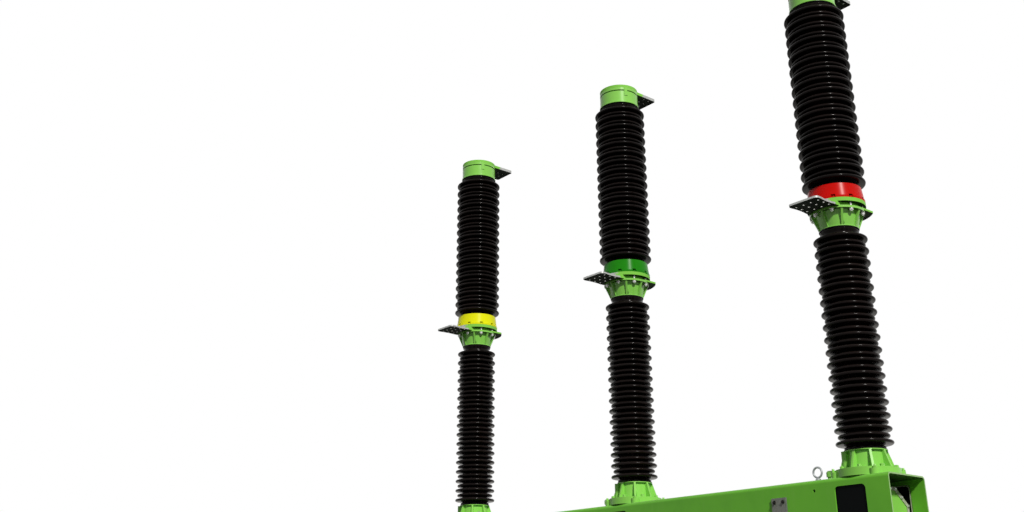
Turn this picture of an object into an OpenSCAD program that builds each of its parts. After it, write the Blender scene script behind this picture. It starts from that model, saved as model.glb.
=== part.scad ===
// Three-pole live-tank circuit breaker for an outdoor substation.
// Each pole is a ribbed porcelain support column with a wider interrupter column above it.
// The poles stand on one folded steel beam, which two galvanised supports carry.
// Millimetres, +Z up. The origin is on the ground under the middle pole, and +X runs
// along the beam towards the red pole. The lower terminals point towards -Y.

/* [Layout] */
// Distance between neighbouring poles, centre to centre
phase_spacing = 1750; // [1500:10:2000]
// Height of the beam's top face above the ground
beam_top_z = 2350; // [2250:10:2800]
// Distance from the middle pole to each support's centre
support_x = 1283; // [1100:1:1300]

/* [Beam] */
// Overall width of the folded beam
beam_w = 334; // [320:2:360]
// Overall height of the folded beam
beam_h = 340; // [320:10:400]
// Thickness of the beam's steel
beam_t = 8; // [6:1:10]
// Outside radius of the folded top corners
beam_bend_r = 22; // [16:1:30]
// Length of the beam past each outer pole
beam_overhang = 222; // [200:1:260]
// Width of the in-turned lip along the bottom of each side wall
beam_lip_w = 60; // [40:5:80]
// Width of the windows in the front wall
window_w = 188; // [140:2:200]
// Height of the windows
window_h = 200; // [140:5:220]
// Depth of the windows' top edge under the beam's top
window_drop = 46; // [40:1:60]
// Width of the windows in the back wall
back_window_w = 250; // [160:2:260]
// Radius of the windows' corners
window_r = 24; // [10:1:40]

/* [Poles] */
// Radius of the round foot plate under each pole
base_plate_r = 170; // [160:1:180]
// Thickness of that foot plate
base_plate_t = 42; // [25:1:50]
// Height of the ribbed base flange with its foot plate
base_flange_h = 142; // [130:1:160]
// Radius of the flange collars at the ends of the lower porcelain
lower_collar_r = 114; // [110:1:118]
// Length of the lower porcelain
lower_porcelain_h = 1252; // [1200:1:1300]
// Radius of the lower porcelain's core
lower_core_r = 98; // [90:1:105]
// Radius of the lower porcelain's large sheds
lower_shed_r = 152; // [140:1:160]
// Height of the ribbed middle flange
middle_flange_h = 109; // [100:1:120]
// Radius of the middle flange's bolted rim
middle_rim_r = 156; // [150:1:162]
// Height of the painted phase ring
phase_ring_h = 93; // [80:1:110]
// Radius of the phase ring at its top
phase_ring_top_r = 153; // [145:1:158]
// Length of the upper porcelain
upper_porcelain_h = 1227; // [1180:1:1300]
// Radius of the upper porcelain's core
upper_core_r = 124; // [110:1:130]
// Radius of the upper porcelain's large sheds
upper_shed_r = 182; // [170:1:190]
// Number of large sheds on each porcelain
shed_count = 17; // [12:1:20]
// Radius by which the small sheds are less than the large ones
shed_step = 15; // [10:1:20]
// Radius of the rounded rims of the sheds
shed_rim_r = 9; // [6:0.5:10]
// Height of the fitting that closes the upper porcelain
top_fitting_h = 122; // [110:1:140]
// Outer radius of that fitting
top_fitting_r = 140; // [134:1:146]

/* [Terminals] */
// Width of the flat terminal pads
pad_w = 200; // [180:5:220]
// Thickness of the terminal plates at the pole
pad_t = 22; // [16:1:25]
// Thickness of the lower terminal's tongue
tongue_t = 12; // [10:1:16]
// Reach of the lower terminal pad from the pole's axis
lower_pad_reach = 330; // [300:5:340]
// Reach of the top terminal pad from the pole's axis
top_pad_reach = 290; // [260:5:330]
// Distance between the terminal holes
pad_pitch = 50; // [45:1:50]
// Diameter of the terminal holes
pad_hole_d = 14; // [12:1:18]

/* [Supports and drive] */
// Depth of the support columns' section, along the beam
column_d = 152; // [140:2:200]
// Width of the support columns' section, across the beam
column_w = 160; // [140:2:200]
// Side of the square foot plates
foot_w = 440; // [380:10:500]
// Thickness of the foot plates
foot_t = 20; // [16:1:30]
// Distance between the anchor holes
anchor_pitch = 340; // [300:5:380]
// Diameter of the anchor holes
anchor_d = 27; // [22:1:33]
// Width of the cheeks on the support heads that clasp the beam
cheek_w = 98; // [80:2:120]
// Thickness of those cheeks
cheek_t = 10; // [8:1:15]
// Width, depth and height of the drive cabinet
cabinet = [760, 460, 860]; // [400:10:1000]

/* [Hidden] */

// Paint and material colours
enamel = [0.50, 0.76, 0.36];
porcelain = [0.12, 0.07, 0.06];
cover_black = [0.06, 0.06, 0.07];
galvanised = [0.62, 0.65, 0.66];
phase_red = [0.80, 0.08, 0.07];
phase_green = [0.07, 0.55, 0.10];
phase_yellow = [0.92, 0.92, 0.08];

// Places of the poles along the beam
red_x = phase_spacing;
green_x = 0;
yellow_x = -phase_spacing;

// Heights of the joints in one pole, from the bottom up
z_porcelain_1 = beam_top_z + base_flange_h;
z_middle = z_porcelain_1 + lower_porcelain_h;
z_terminal = z_middle + middle_flange_h;
ring_flange_t = 23;
ring_flange_r = 166;
z_ring = z_terminal + pad_t + ring_flange_t;
z_porcelain_2 = z_ring + phase_ring_h;
z_top = z_porcelain_2 + upper_porcelain_h;
z_top_terminal = z_top + top_fitting_h;

// Beam sizes that follow from the ones above
beam_len = 2 * (phase_spacing + beam_overhang);
beam_bottom_z = beam_top_z - beam_h;
wall_y = beam_w / 2;
window_z = beam_top_z - window_drop - window_h;
// The front windows sit slightly to the left of the pole's axis
window_shift = -12;
drain_hole_d = 16;
drain_hole_x = -234;
drain_hole_drop = 57;

// Sheds of the porcelains
lower_first_shed = 39;
lower_last_shed = 61;
upper_first_shed = 40;
upper_last_shed = 59;
shed_top_slope = 0.17;
shed_under_slope = 0.10;
neck_h = 22;
neck_extra = 11;

// Ribs of the cast flanges
rib_count = 8;
rib_t = 13;
flange_edge_h = 5;

// Galvanised supports
head_t = 15;
column_flange_t = 9;
column_web_t = 6;
column_root_r = 12;
gusset_t = 8;
gusset_h = 120;
gusset_margin = 20;
cheek_slot_d = 14;
cheek_slot_l = 24;
cheek_top_drop = 74;
cheek_slot_drop = 97;
cheek_slot_pitch = 58;
column_bottom_z = foot_t;
column_top_z = beam_bottom_z - head_t;

// Crank housings inside the beam
housing_half_x = 118;
housing_cover_t = 20;
housing_ridge_drop = 54;
housing_shoulder_drop = 140;
housing_bottom_drop = 290;
housing_ridge_w = 96;
housing_half_w = 153;
housing_inset = 18;
housing_neck_r = 80;
housing_band_w = 17;
housing_band_t = 3;

// Rods that turn the cranks, and the bosses through which they enter the housings
rod_z = beam_top_z - 238;
rod_r = 14;
boss_r = 30;
boss_l = 26;
drive_rod_x = 60;

// Covers that close the windows from inside the beam
cover_t = 3;
cover_lap = 10;

// Drive cabinet below the middle of the beam
cabinet_gap = 130;
cabinet_top_z = beam_bottom_z - cabinet_gap;
cabinet_bottom_z = cabinet_top_z - cabinet[2];
cabinet_corner_r = 14;
door_t = 22;
door_corner_r = 10;
door_edge = 22;
roof_t = 30;
roof_lip = 35;
roof_slope_w = 80;
hanger_w = 60;
hanger_t = 10;
hanger_x = 300;

// Cone of a cast flange, with ribs standing on it from one end to the other
module ribbed_cone(z0, z1, r0, r1, rib_r0, rib_r1) {
  translate([0, 0, z0]) cylinder(r1 = r0, r2 = r1, h = z1 - z0, $fn = 72);
  for (k = [0 : rib_count - 1]) {
    rotate([0, 0, k * 360 / rib_count])
      rotate([90, 0, 0])
        translate([0, 0, -rib_t / 2])
          linear_extrude(rib_t)
            polygon([[min(r0, r1) / 2, z0], [rib_r0, z0], [rib_r1, z1], [min(r0, r1) / 2, z1]]);
  }
}

// Ribbed casting that bolts the support porcelain to the beam, with four low lugs round its foot
// plate and one rounded boss between the foot plate and the collar
module base_flange() {
  lug_r = 26;
  lug_at = 168;
  lug_h = 30;
  foot_cone_r = 106;
  top_cone_r = 99;
  rib_foot_r = 146;
  boss_at = 112;
  cast_boss_r = 19;
  boss_angle = 228;
  boss_seat = 2;
  cone_top = base_flange_h - flange_edge_h;
  translate([0, 0, beam_top_z]) color(enamel) {
    difference() {
      union() {
        cylinder(r = base_plate_r, h = base_plate_t, $fn = 96);
        for (turn = [45 : 90 : 315]) {
          rotate([0, 0, turn]) translate([lug_at, 0, 0]) cylinder(r = lug_r, h = lug_h, $fn = 32);
        }
        ribbed_cone(base_plate_t, cone_top, foot_cone_r, top_cone_r, rib_foot_r, lower_collar_r);
        rotate([0, 0, boss_angle]) translate([boss_at, 0, base_plate_t - boss_seat])
          cylinder(r = cast_boss_r, h = cone_top - base_plate_t + 2 * boss_seat, $fn = 48);
        translate([0, 0, cone_top]) cylinder(r = lower_collar_r, h = flange_edge_h, $fn = 96);
      }
      translate([0, 0, -1]) cylinder(r = 60, h = base_plate_t, $fn = 48);
    }
  }
}

// Outline of one shed, from its root below, round its rim, to its root above
function shed_outline(core_r, rim_r, z) = concat(
  [[core_r, z - shed_rim_r - (rim_r - core_r) * shed_under_slope]],
  [for (a = [-90 : 30 : 90]) [rim_r - shed_rim_r + shed_rim_r * cos(a), z + shed_rim_r * sin(a)]],
  [[core_r, z + shed_rim_r + (rim_r - core_r) * shed_top_slope]]
);

// Glazed porcelain with large and small sheds by turns, turned from one outline
module porcelain_body(core_r, shed_r, h, first, last) {
  half_pitch = (h - first - last) / (2 * shed_count - 2);
  neck_r = core_r + neck_extra;
  color(porcelain) rotate_extrude($fn = 96) polygon(concat(
    [[0, 0], [neck_r, 0], [neck_r, neck_h - 6], [core_r, neck_h]],
    [
      for (k = [0 : 2 * shed_count - 2])
        each shed_outline(core_r, shed_r - (k % 2) * shed_step, first + k * half_pitch)
    ],
    [[core_r, h - neck_h], [neck_r, h - neck_h + 6], [neck_r, h], [0, h]]
  ));
}

module lower_insulator() {
  translate([0, 0, z_porcelain_1])
    porcelain_body(lower_core_r, lower_shed_r, lower_porcelain_h, lower_first_shed, lower_last_shed);
}

module upper_insulator() {
  translate([0, 0, z_porcelain_2])
    porcelain_body(upper_core_r, upper_shed_r, upper_porcelain_h, upper_first_shed, upper_last_shed);
}

// Ribbed casting on top of the support porcelain, widening to a bolted rim
module middle_flange() {
  rim_t = 14;
  translate([0, 0, z_middle]) color(enamel) {
    cylinder(r = lower_collar_r, h = flange_edge_h, $fn = 96);
    ribbed_cone(flange_edge_h, middle_flange_h - rim_t, 110, 130, lower_collar_r, 152);
    translate([0, 0, middle_flange_h - rim_t]) cylinder(r = middle_rim_r, h = rim_t, $fn = 96);
  }
}

// Holes of a terminal pad, in rows away from the pole's axis
module pad_holes(first_y, rows) {
  for (column = [-1.5, -0.5, 0.5, 1.5]) {
    for (row = [0 : rows - 1]) {
      translate([column * pad_pitch, first_y + row * pad_pitch, -1])
        cylinder(d = pad_hole_d, h = pad_t + 2, $fn = 24);
    }
  }
}

// Flat tongue with rounded outer corners, from the pole's axis towards +Y
module pad_outline(reach, corner_r) {
  translate([-pad_w / 2, 0]) square([pad_w, reach - corner_r]);
  translate([-pad_w / 2 + corner_r, 0]) square([pad_w - 2 * corner_r, reach]);
  for (side = [-1, 1]) {
    translate([side * (pad_w / 2 - corner_r), reach - corner_r]) circle(r = corner_r, $fn = 32);
  }
}

// Thin plate of the lower terminal, clear of the rim below it: a waisted tongue in front and a
// short wide pad behind
module lower_plate() {
  corner_r = 24;
  drop = 4;
  waist = 6;
  waist_r = 360;
  waist_y = 225;
  rear_r = 203;
  rear_w = 296;
  rear_y = 30;
  difference() {
    translate([0, 0, -drop]) linear_extrude(tongue_t) {
      difference() {
        rotate(180) pad_outline(lower_pad_reach, corner_r);
        for (side = [-1, 1]) {
          translate([side * (pad_w / 2 + waist_r - waist), -waist_y]) circle(r = waist_r, $fn = 128);
        }
      }
      intersection() {
        circle(r = rear_r, $fn = 96);
        translate([-rear_w / 2, rear_y]) square([rear_w, rear_r]);
      }
    }
    translate([0, 0, -drop - 1]) cylinder(r = middle_rim_r + 1, h = drop + 1, $fn = 96);
  }
}

// Casting between the two porcelains: thin plate, disc that is thicker in front, ring flange above
module lower_terminal() {
  disc_r = 134;
  translate([0, 0, z_terminal]) color(enamel) {
    difference() {
      union() {
        linear_extrude(pad_t) {
          circle(r = disc_r, $fn = 96);
          intersection() {
            circle(r = ring_flange_r, $fn = 96);
            translate([-pad_w / 2, -ring_flange_r]) square([pad_w, ring_flange_r]);
          }
        }
        lower_plate();
        translate([0, 0, pad_t]) cylinder(r = ring_flange_r, h = ring_flange_t, $fn = 96);
      }
      rotate(180) translate([0, 0, -pad_t / 2]) pad_holes(180, 3);
    }
  }
}

// Lower fitting of the interrupter, painted in the phase colour, with bolt pockets open downwards
module phase_ring(paint) {
  skirt_h = 14;
  pocket_count = 10;
  pocket_r = 13;
  pocket_at = 164;
  pocket_h = 21;
  pocket_turn = 12;
  translate([0, 0, z_ring]) color(paint) difference() {
    union() {
      cylinder(r = ring_flange_r, h = skirt_h, $fn = 96);
      translate([0, 0, skirt_h])
        cylinder(r1 = ring_flange_r - 3, r2 = phase_ring_top_r, h = phase_ring_h - skirt_h, $fn = 96);
    }
    for (k = [0 : pocket_count - 1]) {
      rotate([0, 0, pocket_turn + k * 360 / pocket_count])
        translate([pocket_at, 0, -1]) cylinder(r = pocket_r, h = pocket_h + 1, $fn = 32);
    }
  }
}

// Fitting that closes the interrupter, with a groove under its lid flange and two keys across it
module top_fitting() {
  groove_z = 94;
  groove_h = 9;
  groove_depth = 10;
  lip_h = 10;
  lip_extra = 5;
  key_w = 24;
  key_z = 56;
  key_extra = 3;
  key_angle = -22.5;
  translate([0, 0, z_top]) color(enamel) {
    rotate_extrude($fn = 96) {
      square([top_fitting_r, groove_z]);
      square([top_fitting_r + lip_extra, lip_h]);
      square([top_fitting_r - groove_depth, top_fitting_h]);
      translate([0, groove_z + groove_h]) square([top_fitting_r, top_fitting_h - groove_z - groove_h]);
    }
    for (turn = [0, 180]) {
      rotate([0, 0, key_angle + turn]) translate([0, -key_w / 2, key_z])
        cube([top_fitting_r + key_extra, key_w, top_fitting_h - key_z]);
    }
  }
}

// Lid with the upper terminal tongue, which points away from the lower one
module top_terminal() {
  translate([0, 0, z_top_terminal]) color(enamel) difference() {
    linear_extrude(pad_t) {
      circle(r = top_fitting_r, $fn = 96);
      pad_outline(top_pad_reach, 14);
    }
    pad_holes(190, 2);
  }
}

// Gable outline of the crank housing, smaller by the inset on all its sides
module gable(inset) {
  slope_inset = inset * 0.42;
  polygon([
    [-housing_ridge_w / 2 + slope_inset, beam_top_z - housing_ridge_drop - inset],
    [-housing_half_w + inset, beam_top_z - housing_shoulder_drop - slope_inset],
    [-housing_half_w + inset, beam_top_z - housing_bottom_drop + inset],
    [housing_half_w - inset, beam_top_z - housing_bottom_drop + inset],
    [housing_half_w - inset, beam_top_z - housing_shoulder_drop - slope_inset],
    [housing_ridge_w / 2 - slope_inset, beam_top_z - housing_ridge_drop - inset]
  ]);
}

// Turns an outline drawn across the beam into a slab between two places along it
module across_beam(x0, x1) {
  translate([x0, 0, 0]) rotate([90, 0, 90]) linear_extrude(x1 - x0) children();
}

// Cast crank housing under a pole: gabled body, raised bands round its two covers, and its neck.
// A boss stands on each side towards which a rod leaves: 1 for +X, -1 for -X.
module crank_housing(rod_sides) {
  body_x = housing_half_x - housing_cover_t;
  face_x = housing_half_x - housing_band_t;
  color(enamel) {
    for (turn = [0, 180]) {
      rotate([0, 0, turn]) {
        across_beam(body_x, face_x) gable(0);
        across_beam(face_x, housing_half_x) difference() {
          gable(0);
          gable(housing_band_w);
        }
      }
    }
    for (side = rod_sides) {
      translate([side * (face_x + boss_l / 2), 0, rod_z]) rotate([0, 90, 0])
        cylinder(r = boss_r, h = boss_l, center = true, $fn = 48);
    }
    across_beam(-body_x, body_x) gable(housing_inset);
    translate([0, 0, beam_top_z - housing_shoulder_drop])
      cylinder(r = housing_neck_r, h = housing_shoulder_drop - beam_t, $fn = 64);
  }
}

// Outline of a window with rounded corners, centred on its own middle
module window_outline(w, h) {
  square([w - 2 * window_r, h], center = true);
  square([w, h - 2 * window_r], center = true);
  for (sx = [-1, 1], sy = [-1, 1]) {
    translate([sx * (w / 2 - window_r), sy * (h / 2 - window_r)]) circle(r = window_r, $fn = 32);
  }
}

// Section of one folded side wall: in-turned lip, web and rounded top corner
module wall_section() {
  translate([wall_y - beam_lip_w, beam_bottom_z]) square([beam_lip_w, beam_t]);
  translate([wall_y - beam_t, beam_bottom_z]) square([beam_t, beam_h - beam_bend_r]);
  translate([wall_y - beam_bend_r, beam_top_z - beam_bend_r]) intersection() {
    difference() {
      circle(r = beam_bend_r, $fn = 48);
      circle(r = beam_bend_r - beam_t, $fn = 48);
    }
    square([beam_bend_r, beam_bend_r]);
  }
}

module wall_blank() {
  translate([-beam_len / 2, 0, 0]) rotate([90, 0, 90]) linear_extrude(beam_len) wall_section();
}

// Cuts a row of windows, one under each pole, through a wall at +Y
module wall_windows(w, shift) {
  for (pole = [-1, 0, 1]) {
    translate([pole * phase_spacing + shift, wall_y + 1, window_z + window_h / 2])
      rotate([90, 0, 0]) linear_extrude(beam_t + 2) window_outline(w, window_h);
  }
}

module beam_front_wall() {
  color(enamel) difference() {
    mirror([0, 1, 0]) wall_blank();
    mirror([0, 1, 0]) wall_windows(window_w, window_shift);
    for (pole = [-1, 0, 1]) {
      translate([pole * phase_spacing + drain_hole_x, -wall_y - 1, beam_top_z - drain_hole_drop])
        rotate([-90, 0, 0]) cylinder(d = drain_hole_d, h = beam_t + 2, $fn = 24);
    }
  }
}

module beam_back_wall() {
  color(enamel) difference() {
    wall_blank();
    wall_windows(back_window_w, 0);
  }
}

module beam_top_plate() {
  color(enamel) translate([-beam_len / 2, -wall_y + beam_bend_r, beam_top_z - beam_t])
    cube([beam_len, beam_w - 2 * beam_bend_r, beam_t]);
}

// Covers inside one wall at +Y, one behind each window
module wall_covers(w, shift) {
  color(cover_black) for (pole = [-1, 0, 1]) {
    translate([pole * phase_spacing + shift, wall_y - beam_t, window_z + window_h / 2])
      rotate([90, 0, 0]) linear_extrude(cover_t)
        window_outline(w + 2 * cover_lap, window_h + 2 * cover_lap);
  }
}

module front_window_covers() {
  mirror([0, 1, 0]) wall_covers(window_w, window_shift);
}

module back_window_covers() {
  wall_covers(back_window_w, 0);
}

// Gas filling coupling with its domed cap, beside each pole's foot
module gas_couplings() {
  coupling_x = -192;
  coupling_y = -68;
  foot_r = 14;
  foot_h = 20;
  cap_r = 20;
  cap_h = 24;
  dome_h = 8;
  color(enamel) for (pole = [-1, 0, 1]) {
    translate([pole * phase_spacing + coupling_x, coupling_y, beam_top_z]) {
      cylinder(r = foot_r, h = foot_h, $fn = 32);
      translate([0, 0, foot_h]) cylinder(r = cap_r, h = cap_h, $fn = 48);
      translate([0, 0, foot_h + cap_h]) cylinder(r1 = cap_r, r2 = cap_r - dome_h, h = dome_h, $fn = 48);
    }
  }
}

// Galvanised lifting eyes on the beam's edges, inboard of each outer pole
module lifting_eyes() {
  eye_inboard = 226;
  eye_y = 131;
  ring_z = 42;
  ring_r = 27;
  bar_r = 5.5;
  color(galvanised) for (sx = [-1, 1], sy = [-1, 1]) {
    translate([sx * (phase_spacing - eye_inboard), sy * eye_y, beam_top_z]) {
      cylinder(r = 14, h = 8, $fn = 32);
      cylinder(r = 7, h = ring_z - ring_r, $fn = 32);
      translate([0, 0, ring_z]) rotate([90, 0, 0])
        rotate_extrude($fn = 48) translate([ring_r, 0]) circle(r = bar_r, $fn = 24);
    }
  }
}

// Rods in the beam between the crank housings
module coupling_rods() {
  reach = housing_half_x - housing_band_t + boss_l;
  color(galvanised) for (side = [-1, 1]) {
    translate([side * phase_spacing / 2, 0, rod_z]) rotate([0, 90, 0])
      cylinder(r = rod_r, h = phase_spacing - 2 * reach, center = true, $fn = 48);
  }
}

// Upright rod from the drive cabinet to the middle crank housing
module drive_rod() {
  color(galvanised) translate([drive_rod_x, 0, cabinet_top_z])
    cylinder(r = rod_r, h = beam_top_z - housing_bottom_drop - cabinet_top_z, $fn = 48);
}

// Rectangle with rounded corners, centred
module rounded_plan(w, d, r) {
  square([w - 2 * r, d], center = true);
  square([w, d - 2 * r], center = true);
  for (sx = [-1, 1], sy = [-1, 1]) {
    translate([sx * (w / 2 - r), sy * (d / 2 - r)]) circle(r = r, $fn = 32);
  }
}

// Body of the drive cabinet, on a plinth that is set back
module drive_cabinet() {
  plinth_h = 40;
  plinth_inset = 25;
  color(enamel) translate([0, 0, cabinet_bottom_z]) {
    linear_extrude(plinth_h)
      rounded_plan(cabinet[0] - 2 * plinth_inset, cabinet[1] - 2 * plinth_inset, cabinet_corner_r);
    translate([0, 0, plinth_h]) linear_extrude(cabinet[2] - roof_t - plinth_h)
      rounded_plan(cabinet[0], cabinet[1], cabinet_corner_r);
  }
}

// Folded door on the cabinet's front
module cabinet_door() {
  sill = 62;
  door_h = cabinet[2] - roof_t - sill - door_edge;
  color(enamel) translate([0, -cabinet[1] / 2, cabinet_bottom_z + sill + door_h / 2])
    rotate([90, 0, 0]) linear_extrude(door_t)
      rounded_plan(cabinet[0] - 2 * door_edge, door_h, door_corner_r);
}

// Roof that slopes to its front and back edges, with a drip edge all round
module cabinet_roof() {
  lip_h = 22;
  lip_t = 3;
  w = cabinet[0] + 2 * roof_lip;
  d = cabinet[1] + 2 * roof_lip;
  color(enamel) translate([0, 0, cabinet_top_z - roof_t]) {
    translate([-w / 2, 0, 0]) rotate([90, 0, 90]) linear_extrude(w) polygon([
      [-d / 2, 0], [d / 2, 0], [d / 2, lip_t], [d / 2 - roof_slope_w, roof_t],
      [-d / 2 + roof_slope_w, roof_t], [-d / 2, lip_t]
    ]);
    translate([0, 0, -lip_h]) linear_extrude(lip_h) difference() {
      square([w, d], center = true);
      square([w - 2 * lip_t, d - 2 * lip_t], center = true);
    }
  }
}

// Flat bars that hang the cabinet from the beam's lips
module cabinet_hangers() {
  color(galvanised) for (sx = [-1, 1], sy = [-1, 1]) {
    translate([sx * hanger_x - hanger_w / 2, sy * (wall_y - beam_lip_w / 2) - hanger_t / 2, cabinet_top_z])
      cube([hanger_w, hanger_t, cabinet_gap]);
  }
}

// Outline of an upright slot with round ends
module upright_slot() {
  reach = (cheek_slot_l - cheek_slot_d) / 2;
  square([cheek_slot_d, 2 * reach], center = true);
  for (dy = [-reach, reach]) translate([0, dy]) circle(d = cheek_slot_d, $fn = 32);
}

// Head of a support: a plate under the beam with a slotted cheek on each side of it
module support_head() {
  translate([-column_d / 2 - 20, -wall_y - cheek_t, beam_bottom_z - head_t])
    cube([column_d + 40, beam_w + 2 * cheek_t, head_t]);
  for (side = [-1, 1]) {
    difference() {
      translate([-cheek_w / 2, side > 0 ? wall_y : -wall_y - cheek_t, beam_bottom_z])
        cube([cheek_w, cheek_t, beam_h - cheek_top_drop]);
      for (sx = [-1, 1]) {
        translate([sx * cheek_slot_pitch / 2, 0, beam_top_z - cheek_slot_drop])
          rotate([side > 0 ? -90 : 90, 0, 0])
            translate([0, 0, wall_y - 1]) linear_extrude(cheek_t + 2) upright_slot();
      }
    }
  }
}

// Section of a rolled H-column, with the round roots between its web and its flanges
module column_section() {
  web_w = column_d - 2 * column_flange_t;
  square([web_w, column_web_t], center = true);
  for (side = [-1, 1]) {
    translate([side * (column_d - column_flange_t) / 2, 0])
      square([column_flange_t, column_w], center = true);
  }
  for (sx = [-1, 1], sy = [-1, 1]) {
    root_y = (column_web_t + column_root_r) / 2;
    translate([sx * (web_w - column_root_r) / 2, sy * root_y]) difference() {
      square(column_root_r, center = true);
      translate([-sx * column_root_r / 2, sy * column_root_r / 2]) circle(r = column_root_r, $fn = 48);
    }
  }
}

module support_column() {
  translate([0, 0, column_bottom_z]) linear_extrude(column_top_z - column_bottom_z) column_section();
}

// Gusset on the foot plate, from a place near the column outwards along +X
module gusset(start) {
  translate([start, gusset_t / 2, foot_t]) rotate([90, 0, 0]) linear_extrude(gusset_t)
    polygon([[0, 0], [foot_w / 2 - gusset_margin - start, 0], [0, gusset_h]]);
}

// Foot plate with anchor holes, and a gusset against each side of the column
module support_foot() {
  difference() {
    translate([-foot_w / 2, -foot_w / 2, 0]) cube([foot_w, foot_w, foot_t]);
    for (sx = [-1, 1], sy = [-1, 1]) {
      translate([sx * anchor_pitch / 2, sy * anchor_pitch / 2, -1])
        cylinder(d = anchor_d, h = foot_t + 2, $fn = 32);
    }
  }
  for (turn = [0, 180]) rotate([0, 0, turn]) gusset(column_d / 2);
  for (turn = [90, 270]) rotate([0, 0, turn]) gusset(column_web_t / 2);
}

module support_heads() {
  color(galvanised) for (side = [-1, 1]) translate([side * support_x, 0, 0]) support_head();
}

module support_columns() {
  color(galvanised) for (side = [-1, 1]) translate([side * support_x, 0, 0]) support_column();
}

module support_feet() {
  color(galvanised) for (side = [-1, 1]) translate([side * support_x, 0, 0]) support_foot();
}

// Whole poles, piece by piece
translate([red_x, 0, 0]) base_flange();  // red_base_flange
translate([red_x, 0, 0]) lower_insulator();  // red_lower_insulator
translate([red_x, 0, 0]) middle_flange();  // red_middle_flange
translate([red_x, 0, 0]) lower_terminal();  // red_lower_terminal
translate([red_x, 0, 0]) phase_ring(phase_red);  // red_phase_ring
translate([red_x, 0, 0]) upper_insulator();  // red_upper_insulator
translate([red_x, 0, 0]) top_fitting();  // red_top_fitting
translate([red_x, 0, 0]) top_terminal();  // red_top_terminal
translate([red_x, 0, 0]) crank_housing([-1]);  // red_crank_housing

translate([green_x, 0, 0]) base_flange();  // green_base_flange
translate([green_x, 0, 0]) lower_insulator();  // green_lower_insulator
translate([green_x, 0, 0]) middle_flange();  // green_middle_flange
translate([green_x, 0, 0]) lower_terminal();  // green_lower_terminal
translate([green_x, 0, 0]) phase_ring(phase_green);  // green_phase_ring
translate([green_x, 0, 0]) upper_insulator();  // green_upper_insulator
translate([green_x, 0, 0]) top_fitting();  // green_top_fitting
translate([green_x, 0, 0]) top_terminal();  // green_top_terminal
translate([green_x, 0, 0]) crank_housing([-1, 1]);  // green_crank_housing

translate([yellow_x, 0, 0]) base_flange();  // yellow_base_flange
translate([yellow_x, 0, 0]) lower_insulator();  // yellow_lower_insulator
translate([yellow_x, 0, 0]) middle_flange();  // yellow_middle_flange
translate([yellow_x, 0, 0]) lower_terminal();  // yellow_lower_terminal
translate([yellow_x, 0, 0]) phase_ring(phase_yellow);  // yellow_phase_ring
translate([yellow_x, 0, 0]) upper_insulator();  // yellow_upper_insulator
translate([yellow_x, 0, 0]) top_fitting();  // yellow_top_fitting
translate([yellow_x, 0, 0]) top_terminal();  // yellow_top_terminal
translate([yellow_x, 0, 0]) crank_housing([1]);  // yellow_crank_housing

beam_top_plate();
beam_front_wall();
beam_back_wall();
front_window_covers();
back_window_covers();
gas_couplings();
lifting_eyes();
coupling_rods();
drive_rod();
drive_cabinet();
cabinet_door();
cabinet_roof();
cabinet_hangers();

support_heads();
support_columns();
support_feet();
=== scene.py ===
"""Looks of a three-pole live-tank circuit breaker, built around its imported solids.

Metres, +Z up, the same frame as the solids: the origin is at floor level under the middle pole,
+X runs along the beam to the red pole, and the lower terminals point towards -Y.
"""
import math

import bmesh
import bpy
from mathutils import Matrix, Vector


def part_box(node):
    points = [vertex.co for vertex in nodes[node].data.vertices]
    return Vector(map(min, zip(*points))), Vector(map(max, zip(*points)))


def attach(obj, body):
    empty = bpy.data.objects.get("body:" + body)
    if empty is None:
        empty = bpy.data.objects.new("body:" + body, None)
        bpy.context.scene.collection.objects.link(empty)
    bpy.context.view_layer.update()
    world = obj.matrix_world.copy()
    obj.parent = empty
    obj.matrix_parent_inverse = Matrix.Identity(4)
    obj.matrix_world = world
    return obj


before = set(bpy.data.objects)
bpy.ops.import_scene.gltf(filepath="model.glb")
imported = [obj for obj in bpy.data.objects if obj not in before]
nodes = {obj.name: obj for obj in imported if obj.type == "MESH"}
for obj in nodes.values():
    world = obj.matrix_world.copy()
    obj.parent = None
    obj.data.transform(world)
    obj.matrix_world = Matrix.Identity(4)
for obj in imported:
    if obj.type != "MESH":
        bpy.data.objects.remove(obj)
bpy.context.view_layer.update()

COLOURS = ("red", "green", "yellow")

# Colours of paint, metal, glaze, rubber and dirt, and of painted shade and highlight, linear

CASTING_GREEN = ((0.275, 0.675, 0.105), (0.205, 0.570, 0.072))
SHEET_GREEN = ((0.170, 0.550, 0.042), (0.120, 0.430, 0.030))
PHASE_PAINT = {
    "red": ((0.640, 0.006, 0.003), (0.480, 0.004, 0.002)),
    "green": ((0.020, 0.290, 0.006), (0.012, 0.210, 0.005)),
    "yellow": ((0.850, 0.870, 0.008), (0.720, 0.730, 0.007)),
}
FADED = (0.270, 0.520, 0.130)
# Pale of worn edges; on the beam's cut ends it is also a painted highlight
WORN_AND_HIGHLIGHT = (0.38, 0.54, 0.28)
DUST = (0.36, 0.38, 0.28)
# Painted shade: near-black mixed into faces that look down, for the shade under things
PAINTED_UNDERSIDE_SHADE = (0.010, 0.015, 0.009)
ALUMINIUM = ((0.34, 0.35, 0.34), (0.56, 0.57, 0.55))
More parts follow.
